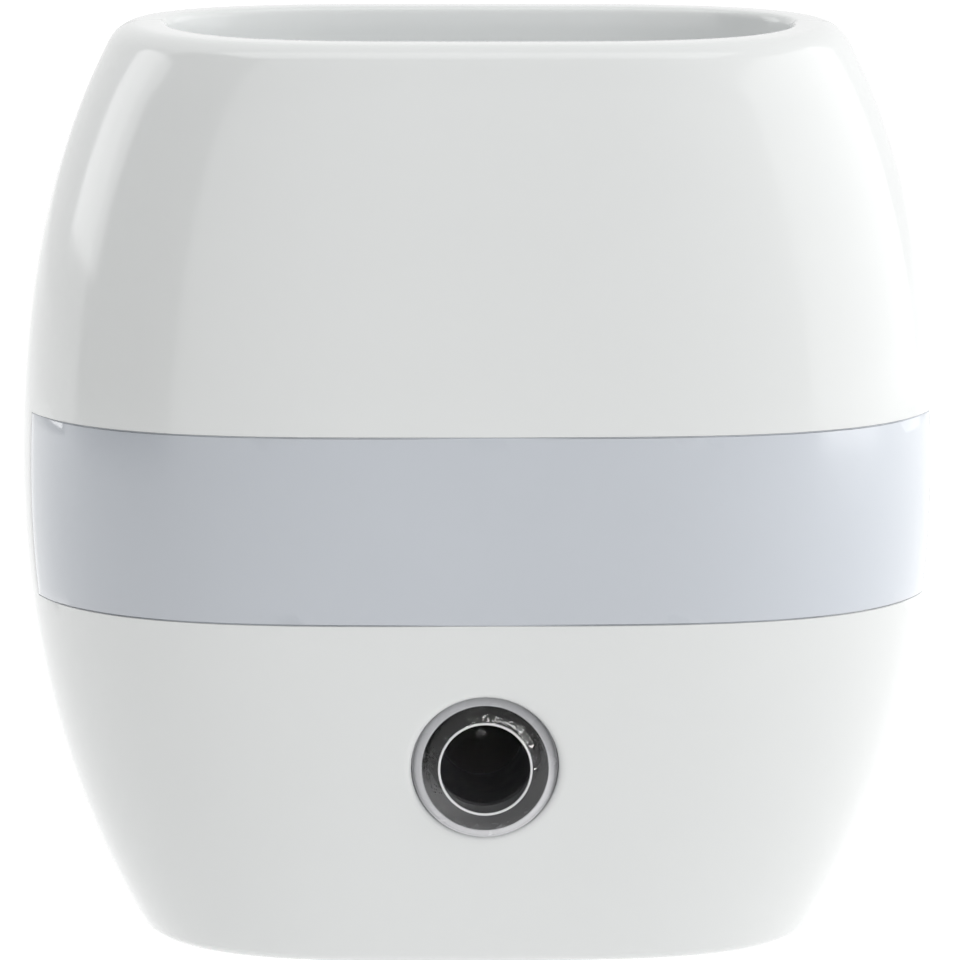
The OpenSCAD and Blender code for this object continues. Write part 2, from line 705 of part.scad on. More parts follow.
module smoothing_capacitor() {
    y = board_y - seat_gap - smooth_len;
    r = smooth_d / 2;
    color("black") turned(smooth_at[0], y, smooth_at[1], [[0, 0.3], [r - 0.8, 0.3], [r - 0.5, 0],
        [r - 0.3, 0], [r, 0.3], [r, smooth_len - 1.6], [r - 0.3, smooth_len - 1.3],
        [r, smooth_len - 1], [r, smooth_len], [0, smooth_len]]);
}

// A flat package with legs along two sides.
module package(at, l, w, t, legs) {
    block(at[0], board_y - seat_gap - t, at[1], [l, t - 0.1, w]);
    for (i = [0 : legs - 1]) for (s = [-1, 1])
        block(at[0] + l * ((i + 0.5) / legs - 0.5), board_y - seat_gap - t / 2,
            at[1] + s * (w / 2 + leg_reach - leg_len / 2), [leg_w, t / 2, leg_len]);
}
module bridge_rectifier() {
    color("dimgray") package(bridge_at, bridge_l, bridge_w, bridge_t, 2);
}
module control_chip() {
    color("dimgray") package(chip_at, chip_l, chip_w, chip_t, 4);
}

// An axial component along X, with its leads bent back to the board.
module axial(at, d, len) {
    y = board_y - seat_gap - d / 2;
    reach = len / 2 + lead_reach;
    translate([at[0] - len / 2, y, at[1]]) rotate([0, 90, 0]) cylinder(d = d, h = len);
    translate([at[0] - reach, y, at[1]]) rotate([0, 90, 0]) cylinder(d = lead_d, h = 2 * reach);
    for (s = [-1, 1])
        rod(at[0] + s * reach, y - lead_d / 2 - 0.1, at[1], lead_d + 0.2,
            d / 2 + lead_d / 2 + 0.1 + seat_gap / 2);
}
module fuse_resistor() {
    color("slategray") axial(fuse_at, fuse_d, fuse_len);
}
module bleed_resistors() {
    color("burlywood") for (at = bleed_at) axial(at, bleed_d, bleed_len);
}
module zener_diode() {
    color("indianred") axial(zener_at, zener_d, zener_len);
}

// A small plastic package with one flat side, on three leads.
module drive_transistor() {
    lead = 1.5;
    y = board_y - seat_gap - lead - drive_len;
    color("dimgray") {
        difference() {
            rod(drive_at[0], y, drive_at[1], drive_d, drive_len);
            block(drive_at[0], y - 1, drive_at[1] + drive_d * 0.78, [drive_d, drive_len + 2, drive_d]);
        }
        for (i = [-1 : 1])
            rod(drive_at[0] + i * lead_pitch / 2, y + drive_len - 0.5, drive_at[1] - 0.2, lead_d,
                lead + 0.5 + seat_gap / 2);
    }
}

// Two pins that join the boards, through a plastic base on the main board.
module board_header() {
    front = led_board_y + led_board_t + seat_gap;
    color("black") union() {
        block(header_x, board_y - seat_gap - header_t, band_z, [header_l, header_t, header_w]);
        for (s = [-1, 1])
            rod(header_x + s * lead_pitch / 2, front, band_z, lead_d,
                board_y - seat_gap - front - header_t / 2);
    }
}

sheet_t = 0.3;
module insulating_sheet() {
    color("tan") plate(chamber_back_y + seat_gap, sheet_t) difference() {
        translate([-board_half_w, chamber_low_z])
            square([2 * board_half_w, chamber_h]);
        translate([header_x - header_hole[0] / 2, band_z - header_hole[1] / 2])
            square(header_hole);
    }
}

// A pan-headed screw along Y with its head's top at y, a cross recess and a plain shank.
// It points towards the socket with way 1, and away from it with way -1.
module screw(x, y, z, head_d, head_t, d, len, way) {
    translate([x, y, z]) rotate([-90 * way, 0, 0]) difference() {
        union() {
            rotate_extrude() polygon([[0, 0], [head_d / 2 - 0.5, 0], [head_d / 2, 0.5],
                [head_d / 2, head_t], [0, head_t]]);
            cylinder(d = d, h = head_t + len - d / 2);
            translate([0, 0, head_t + len - d / 2]) cylinder(d1 = d, d2 = d / 3, h = d / 2);
        }
        for (a = [0, 90])
            rotate([0, 0, a]) translate([-head_d * 0.3, -0.3, -1]) cube([head_d * 0.6, 0.6, 1.7]);
    }
}
module board_screws() {
    color("silver") for (p = post_spots)
        screw(p[0], board_y - seat_gap - board_head_t, p[1], board_head_d, board_head_t,
            board_screw_d - 0.1, seat_gap + board_t + back_inner_y - board_rear_y, 1);
}
module housing_screws() {
    color("silver") for (p = pillar_spots)
        screw(p[0], back_y - screw_sink + seat_gap + screw_head_t, p[1], screw_head_d,
            screw_head_t, screw_d - 0.1, rear_depth - screw_sink + thread_len, -1);
}

// The corner of an outline rounded by r, between the points before and after it.
function rounded(before, at, after, r) =
    let (u = (before - at) / norm(before - at),
        v = (after - at) / norm(after - at),
        half = acos(u * v) / 2,
        centre = at + (u + v) / norm(u + v) * r / sin(half),
        start = atan2((at + u * r / tan(half) - centre)[1], (at + u * r / tan(half) - centre)[0]),
        sweep = -(180 - 2 * half))
    [for (i = [0 : 6]) centre + r * [cos(start + sweep * i / 6), sin(start + sweep * i / 6)]];
// The six-sided outline of the plug body, grown by an amount all round.
module plug_outline(grow) {
    slope = atan2(plug_h / 2, (plug_w - plug_flat_w) / 2);
    w = plug_w / 2 + grow / sin(slope);
    h = plug_h / 2 + grow;
    f = plug_flat_w / 2 + grow * tan(slope / 2);
    corners = [[w, 0], [f, -h], [-f, -h], [-w, 0], [-f, h], [f, h]];
    polygon(flat_list([for (i = [0 : 5])
        rounded(corners[(i + 5) % 6], corners[i], corners[(i + 1) % 6], plug_corner + grow)]));
}

plug_inner_y = back_inner_y - seat_gap - plug_flange_t;
module plug_body() {
    color("white") difference() {
        union() {
            plate(plug_inner_y, -plug_inner_y) plug_outline(0);
            plate(plug_inner_y, plug_flange_t) plug_outline(plug_lap);
        }
        plate(plug_inner_y - 1, -plug_inner_y + 1 - plug_face) plug_outline(-plug_wall);
        for (s = [-1, 1])
            rod(s * pin_pitch / 2, -plug_face - 1, 0, sleeve_d + 2 * pin_play, plug_face + 2);
    }
}

// A turned pin: a root in the plug's face, a neck under the sleeve and a bare rounded end.
module plug_pin(x) {
    neck = sleeve_d / 2 - sleeve_wall;
    root = plug_face + pin_root;
    tip = root + pin_len;
    color("silver") turned(x, -root, 0, concat(
        [[0, 0], [sleeve_d / 2 - 0.4, 0], [sleeve_d / 2, 0.4], [sleeve_d / 2, root - sleeve_in],
            [neck, root - sleeve_in], [neck, root + sleeve_len], [pin_d / 2, root + sleeve_len]],
        [for (a = concat(levels(0, 90, 6), [90]))
            [pin_d / 2 - pin_tip_r * (1 - cos(a)), tip - pin_tip_r * (1 - sin(a))]],
        [[0, tip]]));
}
module plug_pin_left() { plug_pin(-pin_pitch / 2); }
module plug_pin_right() { plug_pin(pin_pitch / 2); }

module pin_sleeve(x) {
    inner = sleeve_d / 2 - sleeve_wall + 0.03;
    color("dimgray") turned(x, -sleeve_in + 0.03, 0, [[inner, 0], [sleeve_d / 2, 0],
        [sleeve_d / 2, sleeve_len + sleeve_in - 0.06], [inner, sleeve_len + sleeve_in - 0.06]]);
}
module pin_sleeve_left() { pin_sleeve(-pin_pitch / 2); }
module pin_sleeve_right() { pin_sleeve(pin_pitch / 2); }

// An angled strip from the main board's back to the end of a pin.
module contact_spring(side) {
    foot_y = -plug_face - pin_root - seat_gap - spring_t;
    leg_x = pin_pitch / 2 + sleeve_d / 2 + 0.2;
    color("goldenrod") slab(-spring_w / 2, spring_w) polygon([
        [side * leg_x, board_y + board_t + seat_gap],
        [side * (leg_x + spring_t), board_y + board_t + seat_gap],
        [side * (leg_x + spring_t), foot_y + spring_t],
        [side * (leg_x + spring_t - spring_foot), foot_y + spring_t],
        [side * (leg_x + spring_t - spring_foot), foot_y], [side * leg_x, foot_y]]);
}
module contact_spring_left() { contact_spring(-1); }
module contact_spring_right() { contact_spring(1); }

front_shell();
rear_shell();
light_band();
top_tray();
light_chamber();
led_board();
band_leds();
top_leds();
sensor_lens();
sensor_baffle();
phototransistor();
main_board();
film_capacitor();
smoothing_capacitor();
bridge_rectifier();
fuse_resistor();
bleed_resistors();
zener_diode();
drive_transistor();
control_chip();
board_header();
insulating_sheet();
board_screws();
housing_screws();
plug_body();
plug_pin_left();
plug_pin_right();
pin_sleeve_left();
pin_sleeve_right();
contact_spring_left();
contact_spring_right();
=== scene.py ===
"""Studio scene of a plug-in night light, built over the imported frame.

The shells, the light band, the lens, the baffle tube, the tray and the plug body get smooth
skins. The other nodes keep their shape and get a material. The shape functions follow the
part's source, in millimetres. Meshes are stored in metres.
"""
import math

import bmesh
import bpy
from mathutils import Matrix, Vector


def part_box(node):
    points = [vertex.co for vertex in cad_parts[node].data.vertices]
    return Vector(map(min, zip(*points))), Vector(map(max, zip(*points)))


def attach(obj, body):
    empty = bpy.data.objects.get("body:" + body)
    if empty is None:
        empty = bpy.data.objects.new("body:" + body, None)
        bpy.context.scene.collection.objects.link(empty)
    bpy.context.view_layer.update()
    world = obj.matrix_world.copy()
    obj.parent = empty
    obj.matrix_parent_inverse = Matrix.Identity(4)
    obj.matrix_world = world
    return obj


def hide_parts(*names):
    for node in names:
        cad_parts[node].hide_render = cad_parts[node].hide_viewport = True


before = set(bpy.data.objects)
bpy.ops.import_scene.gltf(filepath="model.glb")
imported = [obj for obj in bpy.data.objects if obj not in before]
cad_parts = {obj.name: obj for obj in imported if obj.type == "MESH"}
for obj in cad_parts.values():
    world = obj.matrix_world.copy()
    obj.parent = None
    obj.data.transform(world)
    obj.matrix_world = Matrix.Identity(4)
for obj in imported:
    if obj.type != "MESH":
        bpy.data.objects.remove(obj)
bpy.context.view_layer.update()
MM = 0.001


def span(node, axis):
    """Lowest and highest value of a CAD node along an axis, in millimetres."""
    low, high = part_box(node)
    return low[axis] / MM, high[axis] / MM


# ---------------------------------------------------------------- driving sizes
FOOT_Z, TOP_Z = span("front_shell", 2)
BODY_HALF_W = span("front_shell", 0)[1]
SEAM_Y = span("front_shell", 1)[1]
BACK_Y = span("rear_shell", 1)[1]
REAR_DEPTH = BACK_Y - SEAM_Y
# Half widths at the ends, the height of the waist, and depths in front of the seam.
TOP_HALF_W = 25.25
FOOT_HALF_W = 24.0
WAIST_Z = 1.1
FRONT_DEPTH, TOP_DEPTH, FOOT_DEPTH = 19.5, 15.1, 12.8
# Depth behind the seam that the body would have without its flat back.
REAR_SWELL = 14.8
WALL = 2.2
FOOT_ROUND = 0.9
BACK_ROUND = 0.8
# Exponents of the plan, and the parabola's share in the curve of the side.
PLAN_P, PLAN_Q = 3.73, 2.04
SWELL_TOP, SWELL_FOOT = 0.757, 0.876

# The rolled rim's wall, height, outer and inner rounding. It rises towards the back.
RIM_W, RIM_H, RIM_ROUND, RIM_EDGE = 3.3, 4.0, 1.3, 0.5
RIM_LEAN = math.radians(3.4)
LEAN_START = TOP_Z - RIM_H
# Heights of the rows of points on the rim's inner side.
WELL_ROWS = (TOP_Z - 1.5, TOP_Z - 2.7, LEAN_START)

# The band's height, its middle, the plan angle of its ends, and the gap round it.
BAND_H, BAND_Z, BAND_END, BAND_GAP = 12.9, -0.5, 20.5, 0.005
BAND_LOW, BAND_TOP = BAND_Z - BAND_H / 2, BAND_Z + BAND_H / 2
BAND_ROW = (BAND_Z, 0, BAND_Z)
SLOT_ROUND, BAND_ROUND, BAND_BEVEL = 0.03, 0.09, 0.2

SENSOR_Z = sum(span("sensor_lens", 2)) / 2
BORE_R, BORE_ROUND = 5.05, 0.52

SEAM_GROOVE = 0.07
SEAM_BEVEL = 0.12

PILLAR_INSET = 8.4
PILLAR_X = BODY_HALF_W - PILLAR_INSET
SCREW_LOW_Z, SCREW_HIGH_Z = -14.0, 13.0
SCREW_SPOTS = [(side * PILLAR_X, z) for z in (SCREW_LOW_Z, SCREW_HIGH_Z) for side in (-1, 1)]
SCREW_BORE_R, SCREW_SINK, SCREW_LIP = 2.4, 5.0, 0.3
PLUG_W, PLUG_H, PLUG_FLAT_W, PLUG_CORNER = 35.3, 13.7, 26.0, 1.5
PLUG_PLAY, PLUG_LIP, PLUG_ROUND = 0.15, 0.25, 0.9
PLUG_SLOPE = math.atan2(PLUG_H / 2, (PLUG_W - PLUG_FLAT_W) / 2)

# How finely the plan is measured, and how finely roundings and turned pieces are divided.
PLAN_STEPS = 1200
FOOT_STEPS, ROLL_STEPS, EDGE_STEPS, LIP_STEPS = 6, 7, 4, 5
TURN_STEPS, BEAD_STEPS = 96, 12
# Places of the rings between a window's border and the hole in it.
HOLE_SHARES = (0.25, 0.5, 0.75, 0.92, 1.0)
# Places that are closer together than this count as one.
NEAR = 0.01
# Edges sharper than this many degrees stay sharp, in skins and in turned pieces.
SKIN_SHARP, TURNED_SHARP = 35, 30
SQUARE = ((-1, -1), (1, -1), (1, 1), (-1, 1))


# ---------------------------------------------------------------- shape of the body
def drop_at(z):
    """Share of the full drop that the side has made at a height."""
    up = z > WAIST_Z
    t = (z - WAIST_Z) / (TOP_Z - WAIST_Z) if up else (WAIST_Z - z) / (WAIST_Z - FOOT_Z)
    s = SWELL_TOP if up else SWELL_FOOT
    return s * t ** 2 + (1 - s) * t ** 4


def half_w(z):
    end = TOP_HALF_W if z > WAIST_Z else FOOT_HALF_W
    return BODY_HALF_W - drop_at(z) * (BODY_HALF_W - end)


def front_at(z):
    end = TOP_DEPTH if z > WAIST_Z else FOOT_DEPTH
    return FRONT_DEPTH - drop_at(z) * (FRONT_DEPTH - end)


def rear_at(z):
    return REAR_SWELL * half_w(z) / BODY_HALF_W


def flatten(y, flat):
    """Eases a depth into the flat back."""
    if y < flat - BACK_ROUND:
        return y
    if y > flat + BACK_ROUND:
        return flat
    return y - (y - flat + BACK_ROUND) ** 2 / (4 * BACK_ROUND)


def lean(y, z):
    return math.tan(RIM_LEAN) * (y - SEAM_Y) * max(0.0, (z - LEAN_START) / (TOP_Z - LEAN_START))


class Half:
    """One half of the body, in front of the seam or behind it.

    A row is (height, inset from the skin, level whose plan it takes).
    """

    def __init__(self, way):
        self.way = way  # -1 for the front, 1 for the rear

    def depth_at(self, share, inset, level):
        """Distance from the seam, at a share of the full depth."""
        if self.way < 0:
            return (front_at(level) - inset) * share
        return flatten((rear_at(level) - inset) * share, REAR_DEPTH - inset)

    def point(self, row, angle):
        z, inset, level = row
        a = math.radians(angle)
        c, s = math.cos(a), abs(math.sin(a))
        x = (half_w(level) - inset) * math.copysign(abs(c) ** (2 / PLAN_P), c)
        y = SEAM_Y + self.way * self.depth_at(s ** (2 / PLAN_Q), inset, level)
        return Vector((x, y, z + lean(y, z)))

    def on_skin(self, x, z, inset):
        """The point of the skin, at an inset, that lies behind a place given as X and Z."""
        u = min(1.0, abs(x) / (half_w(z) - inset))
        share = (1 - u ** PLAN_P) ** (1 / PLAN_Q)
        return Vector((x, SEAM_Y + self.way * self.depth_at(share, inset, z), z))

    def columns(self, low, high, count):
        """Angles from low on, without the last one, at equal lengths along the waist's plan."""
        row = (WAIST_Z, 0, WAIST_Z)
        angles = [low + (high - low) * i / PLAN_STEPS for i in range(PLAN_STEPS + 1)]
        points = [self.point(row, a) for a in angles]
        length = [0.0]
        for a, b in zip(points, points[1:]):
            length.append(length[-1] + (b - a).length)
        out, k = [], 0
        for i in range(count):
            goal = length[-1] * i / count
            while length[k + 1] < goal:
                k += 1
            out.append(angles[k] + (angles[k + 1] - angles[k])
                       * (goal - length[k]) / (length[k + 1] - length[k]))
        return out


def steps(low, high, count):
    """Values from low on, in equal steps, without the last one."""
    return [low + (high - low) * i / count for i in range(count)]


def quarter(count):
    """Sine and cosine pairs of a quarter turn, from (0, 1) to (1, 0)."""
    turn = [math.pi / 2 * i / count for i in range(count + 1)]
    return [(math.sin(t), math.cos(t)) for t in turn]


front, rear = Half(-1), Half(1)
# Length along the plan of one degree at the band's ends.
DEGREE = (front.point(BAND_ROW, BAND_END + 0.5) - front.point(BAND_ROW, BAND_END - 0.5)).length


def band_outline(shares, offset, inset):
    """Points at an offset inwards from the slot's edge, at shares of its height and length."""
    low_a, high_a = BAND_END + offset / DEGREE, 180 - BAND_END - offset / DEGREE
    low_z, high_z = BAND_LOW + offset, BAND_TOP - offset
    points = []
    for v, u in shares:
        z = low_z + (high_z - low_z) * v
        points.append(front.point((z, inset, z), low_a + (high_a - low_a) * u))
    return points


# ---------------------------------------------------------------- mesh helpers
def make_object(name, verts, faces, smooth_below=SKIN_SHARP):
    """A smooth-shaded object from points in millimetres, with sharp edges over an angle."""
    mesh = bpy.data.meshes.new(name)
    mesh.from_pydata([v * MM for v in map(Vector, verts)], [], faces)
    form = bmesh.new()
    form.from_mesh(mesh)
    bmesh.ops.recalc_face_normals(form, faces=form.faces)
    form.to_mesh(mesh)
    form.free()
    mesh.shade_smooth()
    mesh.set_sharp_from_angle(angle=math.radians(smooth_below))
    obj = bpy.data.objects.new(name, mesh)
    bpy.context.scene.collection.objects.link(obj)
    return obj


def loft(rings, cap_first=False, cap_last=False, around=False):
    """Points and faces of a skin over rings that have the same number of points."""
    n = len(rings[0])
    verts = [p for ring in rings for p in ring]
    faces = []
    for j in range(len(rings) if around else len(rings) - 1):
        after = (j + 1) % len(rings)
        for i in range(n):
            k = (i + 1) % n
            faces.append((j * n + i, j * n + k, after * n + k, after * n + i))
    if cap_first:
        faces.append(tuple(range(n)))
    if cap_last:
        faces.append(tuple((len(rings) - 1) * n + i for i in range(n)))
    return verts, faces


def turned(y, outline):
    """Rings of a piece turned about the sensor's axis, from (radius, distance from y) pairs."""
    turn = steps(0, 2 * math.pi, TURN_STEPS)
    return [[Vector((r * math.cos(t), y + d, SENSOR_Z + r * math.sin(t))) for t in turn]
            for r, d in outline]


class Sheet:
    """Collects the points and faces of one skin."""

    def __init__(self):
        self.verts, self.faces = [], []

    def add(self, point):
        self.verts.append(point)
        return len(self.verts) - 1

    def ring(self, points):
        return [self.add(p) for p in points]

    def cell(self, grid, j, i):
        """One face of a grid."""
        self.faces.append((grid[j][i], grid[j][i + 1], grid[j + 1][i + 1], grid[j + 1][i]))

    def bridge(self, a, b):
        """Faces between two rings that have the same number of points."""
        n = len(a)
        for i in range(n):
            self.faces.append((a[i], a[(i + 1) % n], b[(i + 1) % n], b[i]))

    def extend(self, previous, points):
        """Adds a ring of points, with faces from the previous ring to it."""
        ring = self.ring(points)
        self.bridge(previous, ring)
        return ring


def border(grid, j0, j1, i0, i1):
    """Indexes of the points round a rectangle of a grid, and their places in it from 0 to 1."""
    places = ([(j0, i) for i in range(i0, i1)] + [(j, i1) for j in range(j0, j1)]
              + [(j1, i) for i in range(i1, i0, -1)] + [(j, i0) for j in range(j1, j0, -1)])
    shares = [((j - j0) / (j1 - j0), (i - i0) / (i1 - i0)) for j, i in places]
    return [grid[j][i] for j, i in places], shares


class Window:
    """A rectangle of levels and columns that stays open in a shell's outer skin.

    One that goes through is open in the inner skin too.
    """

    def __init__(self, levels, columns, through=True):
        self.levels, self.columns, self.through = levels, columns, through

    def holds(self, level, column):
        return (self.levels[0] <= level < self.levels[1]
                and self.columns[0] <= column < self.columns[1])


class Shell:
    """Both skins of a half shell, its rim and its seam face, with windows left open in them."""

    def __init__(self, half, levels, angles, windows):
        self.half, self.sheet = half, Sheet()
        skin = ([(FOOT_Z + FOOT_ROUND * (1 - c), FOOT_ROUND * (1 - s))
                 for s, c in quarter(FOOT_STEPS)[:-1]]
                + [(z, 0.0) for z in levels]
                + [(TOP_Z - RIM_ROUND * (1 - s), RIM_ROUND * (1 - c))
                   for s, c in quarter(ROLL_STEPS)])
        well = ([(TOP_Z - RIM_EDGE * (1 - c), RIM_W - RIM_EDGE * (1 - s))
                 for s, c in quarter(EDGE_STEPS)]
                + [(z, RIM_W) for z in WELL_ROWS])
        rows = [(z, inset, z) for z, inset in skin] + [(z, inset, TOP_Z) for z, inset in well]
        self.last = len(angles) - 1

        def outer_point(row, i):
            z, inset, level = row
            sunk = SEAM_GROOVE if i in (0, self.last) else 0.0
            return half.point((z, inset + sunk, level), angles[i])

        self.outer = [self.sheet.ring([outer_point(row, i) for i in range(len(angles))])
                      for row in rows]
        self.inner = [self.sheet.ring([half.point((z, WALL, z), a) for a in angles])
                      for z in levels if FOOT_Z + WALL < z < LEAN_START]
        # The outer skin has the foot's rows before the levels. The inner one starts above it.
        self.outer_shift = FOOT_STEPS
        self.inner_shift = -next(k for k, z in enumerate(levels) if z > FOOT_Z + WALL)
        self.close(windows)

    def close(self, windows):
        """Adds the faces of both skins, the foot, the rim's lower edge and the seam."""
        sheet, last = self.sheet, self.last
        for j in range(len(self.outer) - 1):
            for i in range(last):
                if not any(w.holds(j - self.outer_shift, i) for w in windows):
                    sheet.cell(self.outer, j, i)
        for j in range(len(self.inner) - 1):
            for i in range(last):
                if not any(w.through and w.holds(j - self.inner_shift, i) for w in windows):
                    sheet.cell(self.inner, j, i)
        outer_pole = sheet.add(Vector((0, SEAM_Y, FOOT_Z)))
        inner_pole = sheet.add(Vector((0, SEAM_Y, FOOT_Z + WALL)))
        sheet.faces.append(tuple(self.outer[0] + [outer_pole]))
        sheet.faces.append(tuple(self.inner[0] + [inner_pole]))
        top, low = self.outer[-1], self.inner[-1]
        for i in range(last):
            sheet.faces.append((top[i], top[i + 1], low[i + 1], low[i]))
        for i in (0, last):
            sheet.faces.append(tuple([outer_pole] + [line[i] for line in self.outer]
                                     + [line[i] for line in reversed(self.inner)]
                                     + [inner_pole]))

    def window(self, w, inner=False):
        """The points round a window in one of the skins, and their places in it."""
        grid, shift = ((self.inner, self.inner_shift) if inner
                       else (self.outer, self.outer_shift))
        return border(grid, w.levels[0] + shift, w.levels[1] + shift, *w.columns)

    def hole(self, w, x, z, radius, rounding, bottom=None):
        """Fills a window round a hole along Y, whose radius is a function of the angle.

        The hole runs through both skins, or has its bottom at a place along Y.
        """
        sheet, half = self.sheet, self.half
        previous, _ = self.window(w)
        spots = [sheet.verts[k] for k in previous]
        turn = [math.atan2(p.z - z, p.x - x) for p in spots]
        deeper = Vector((0, -half.way * rounding, 0))

        def round_the_hole(reach, inset):
            return [half.on_skin(x + (radius(t) + reach) * math.cos(t),
                                 z + (radius(t) + reach) * math.sin(t), inset) for t in turn]

        lip, corner = round_the_hole(rounding, 0.0), round_the_hole(0.0, 0.0)
        for share in HOLE_SHARES:
            previous = sheet.extend(previous, [
                half.on_skin(a.x + (b.x - a.x) * share, a.z + (b.z - a.z) * share, 0.0)
                for a, b in zip(spots, lip)])
        for k in range(1, LIP_STEPS + 1):
            t = k / LIP_STEPS
            previous = sheet.extend(previous, [
                a * (1 - t) ** 2 + b * 2 * t * (1 - t) + (b + deeper) * t ** 2
                for a, b in zip(lip, corner)])
        if bottom is not None:
            ring = sheet.extend(previous, [Vector((p.x, bottom, p.z)) for p in corner])
            sheet.faces.append(tuple(ring))
            return
        ring = sheet.extend(previous, round_the_hole(0.0, WALL))
        sheet.bridge(ring, self.window(w, inner=True)[0])

    def slot(self, w):
        """Fills the window round the band's slot, with its edges rolled inwards."""
        previous, shares = self.window(w)
        for s, c in quarter(EDGE_STEPS)[1:]:
            previous = self.sheet.extend(previous, band_outline(
                shares, -SLOT_ROUND * (1 - s), SLOT_ROUND * (1 - c)))
        ring = self.sheet.extend(previous, band_outline(shares, 0.0, WALL))
        self.sheet.bridge(ring, self.window(w, inner=True)[0])


# ---------------------------------------------------------------- materials
# The part of the noise's range that a colour or gloss is spread over, and its roughness.
NOISE_LOW, NOISE_HIGH, NOISE_ROUGH = 0.3, 0.7, 0.55
# Scales of the mottle in moulded plastic, and of the tint, haze and marks in clear plastic.
MOTTLE_SCALE, TINT_SCALE, HAZE_SCALE, MARK_SCALE = 60.0, 400.0, 1500.0, 1400.0


def nodes_of(name):
    """A new material with its node tree, its Principled shader and a coordinate node."""
    mat = bpy.data.materials.new(name)
    mat.use_nodes = True
    tree = mat.node_tree
    shader = tree.nodes["Principled BSDF"]
    place = tree.nodes.new("ShaderNodeTexCoord")
    return mat, tree, shader, place.outputs["Object"]


def noise(tree, place, scale, detail=3.0):
    n = tree.nodes.new("ShaderNodeTexNoise")
    n.inputs["Scale"].default_value = scale
    n.inputs["Detail"].default_value = detail
    n.inputs["Roughness"].default_value = NOISE_ROUGH
    tree.links.new(place, n.inputs["Vector"])
    return n.outputs["Fac"]


def ramp(tree, value, low, high):
    """A colour between low and high, by a noise's value."""
    r = tree.nodes.new("ShaderNodeValToRGB")
    first, last = r.color_ramp.elements
    first.position, first.color = NOISE_LOW, (*low, 1)
    last.position, last.color = NOISE_HIGH, (*high, 1)
    tree.links.new(value, r.inputs["Fac"])
    return r.outputs["Color"]


def between(tree, value, low, high):
    """A number between low and high, by a noise's value."""
    m = tree.nodes.new("ShaderNodeMapRange")
    for socket, number in (("From Min", NOISE_LOW), ("From Max", NOISE_HIGH),
                           ("To Min", low), ("To Max", high)):
        m.inputs[socket].default_value = number
    tree.links.new(value, m.inputs["Value"])
    return m.outputs["Result"]


def bump(tree, shader, height, strength, distance):
    b = tree.nodes.new("ShaderNodeBump")
    b.inputs["Strength"].default_value = strength
    b.inputs["Distance"].default_value = distance
    tree.links.new(height, b.inputs["Height"])
    tree.links.new(b.outputs["Normal"], shader.inputs["Normal"])


def moulded(name, colour, rough, variation=0.02, grain=900.0, relief=0.00002, spread=0.03,
            metal=0.0, ior=1.5):
    """Moulded plastic, lacquer or metal: a faint mottle, uneven gloss and a fine relief."""
    mat, tree, shader, place = nodes_of(name)
    mottle = noise(tree, place, MOTTLE_SCALE, 4.0)
    low = tuple(c * (1 - variation) for c in colour)
    high = tuple(min(1.0, c * (1 + variation)) for c in colour)
    tree.links.new(ramp(tree, mottle, low, high), shader.inputs["Base Color"])
    gloss = noise(tree, place, grain * 0.35, 5.0)
    tree.links.new(between(tree, gloss, max(0.01, rough - spread), rough + spread),
                   shader.inputs["Roughness"])
    bump(tree, shader, noise(tree, place, grain), 0.25, relief)
    shader.inputs["Metallic"].default_value = metal
    shader.inputs["IOR"].default_value = ior
    return mat


def clear(name, colour, rough=0.02, ior=1.49, marks=0.00001):
    """Clear moulded plastic, with faint flow marks in its surface."""
    mat, tree, shader, place = nodes_of(name)
    tint = noise(tree, place, TINT_SCALE, 2.0)
    low = tuple(c * 0.97 for c in colour)
    tree.links.new(ramp(tree, tint, low, colour), shader.inputs["Base Color"])
    haze = noise(tree, place, HAZE_SCALE, 4.0)
    tree.links.new(between(tree, haze, rough * 0.5, rough * 1.5), shader.inputs["Roughness"])
    bump(tree, shader, noise(tree, place, MARK_SCALE), 0.3, marks)
    shader.inputs["Transmission Weight"].default_value = 1.0
    shader.inputs["IOR"].default_value = ior
    return mat


def set_input(mat, socket, value):
    """Sets a constant of a material's shader."""
    mat.node_tree.nodes["Principled BSDF"].inputs[socket].default_value = value


white = moulded("gloss_white", (0.80, 0.815, 0.81), 0.13, 0.006, 700.0, 0.000012, 0.02)
band_blue = moulded("band_diffuser", (0.465, 0.495, 0.54), 0.16, 0.012, 2600.0, 0.000012, 0.03,
                    ior=1.75)
set_input(band_blue, "Coat Weight", 0.5)
opal = moulded("tray_opal", (0.72, 0.74, 0.75), 0.3, 0.01, 1200.0, 0.00001, 0.04)
black = moulded("black_tube", (0.012, 0.012, 0.013), 0.38, 0.1, 2500.0, 0.00003, 0.06)
lens_clear = clear("lens_clear", (0.97, 0.975, 0.98), 0.03, 1.4, 0.0004)
lens_milky = moulded("lens_frost", (0.62, 0.62, 0.64), 0.25, 0.03, 1500.0, 0.00002, 0.05)
# Painted highlight: a pale colour for the bead that stands for the lit edge of the lens's face.
lens_highlight_paint = moulded("painted_highlight_bead", (0.78, 0.78, 0.79), 0.25, 0.03, 1500.0, 0.00001, 0.05)
lens_face = clear("lens_face", (0.97, 0.975, 0.98), 0.02, 1.08)
tube_black = moulded("tube_black", (0.032, 0.032, 0.034), 0.5, 0.1, 2500.0, 0.00003, 0.06)
# Partly painted shade: black plastic made far darker and less reflective than the tube, for the
# shade deep inside the tube.
partition_black_painted_shade = moulded("partition_black_painted_shade", (0.002, 0.002, 0.002), 0.6, 0.1, 2500.0)
set_input(partition_black_painted_shade, "Specular IOR Level", 0.05)
chamber_white = moulded("chamber_white", (0.85, 0.85, 0.84), 0.5, 0.01, 1500.0)
board_white = moulded("board_white", (0.8, 0.8, 0.77), 0.35, 0.02, 2000.0)
board_green = moulded("board_green", (0.02, 0.13, 0.05), 0.3, 0.12, 1800.0, 0.00002)
led_resin = moulded("led_resin", (0.85, 0.72, 0.3), 0.2, 0.04, 1500.0)
film_yellow = moulded("film_case", (0.62, 0.42, 0.06), 0.28, 0.05, 1500.0)
